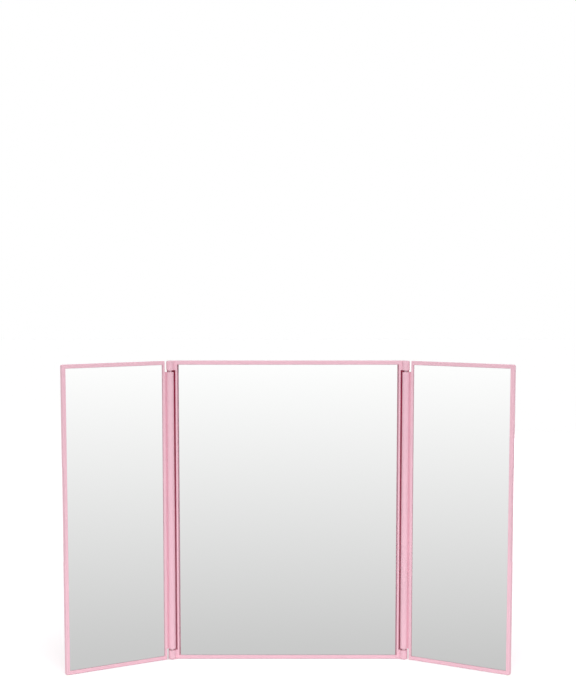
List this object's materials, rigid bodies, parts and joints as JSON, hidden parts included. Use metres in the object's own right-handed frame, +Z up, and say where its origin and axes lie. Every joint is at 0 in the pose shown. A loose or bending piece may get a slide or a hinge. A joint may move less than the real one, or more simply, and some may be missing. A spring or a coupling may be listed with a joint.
{
  "type": "trifold table mirror",
  "caption": "Slim folding table mirror: a middle glass in a thin moulded frame, a glazed wing hinged on each side that folds shut over it, and a flush swing-out leg in the back.",
  "frame": {"origin": "middle of the centre frame's bottom face, on the surface that the mirror stands on", "axes": "+X to the right along the middle panel as seen from the front, +Y to the back, +Z up; the glass faces -Y"},
  "size_m": [0.3594, 0.0609, 0.25],
  "materials": {
    "shell": "soft-touch coated pink",
    "mirror": "clear silvered glass",
    "tape": "white foam tape",
    "pin": "drawn steel",
    "washer": "pale moulded nylon",
    "foot_pad": "soft matt rubber"
  },
  "bodies": {
    "centre": {"centre_frame": "shell", "centre_mirror": "mirror", "centre_mirror_tape": "tape", "rear_cover": "shell", "rear_cover_tape": "tape", "stand_pin": "pin", "stand_friction_washers": "pin", "left_lower_hinge_pin": "pin", "left_upper_hinge_pin": "pin", "left_hinge_washers": "washer", "right_lower_hinge_pin": "pin", "right_upper_hinge_pin": "pin", "right_hinge_washers": "washer"},
    "left_wing": {"left_wing_shell": "shell", "left_wing_mirror": "mirror", "left_wing_mirror_tape": "tape"},
    "right_wing": {"right_wing_shell": "shell", "right_wing_mirror": "mirror", "right_wing_mirror_tape": "tape"},
    "stand": {"stand_leg": "shell", "stand_foot_pad": "foot_pad"}
  },
  "joints": [
    {"name": "left_wing_fold", "type": "hinge", "parent": "centre", "child": "left_wing", "pos_m": [-0.097, -0.00225, 0.125], "axis": [0, 0, 1], "range_deg": [-33.5, 146.5]},
    {"name": "right_wing_fold", "type": "hinge", "parent": "centre", "child": "right_wing", "pos_m": [0.097, -0.00225, 0.125], "axis": [0, 0, -1], "range_deg": [-33.5, 146.5]},
    {"name": "stand_tilt", "type": "hinge", "parent": "centre", "child": "stand", "pos_m": [0, 0.00395, 0.15], "axis": [1, 0, 0], "range_deg": [0, 58]}
  ]
}
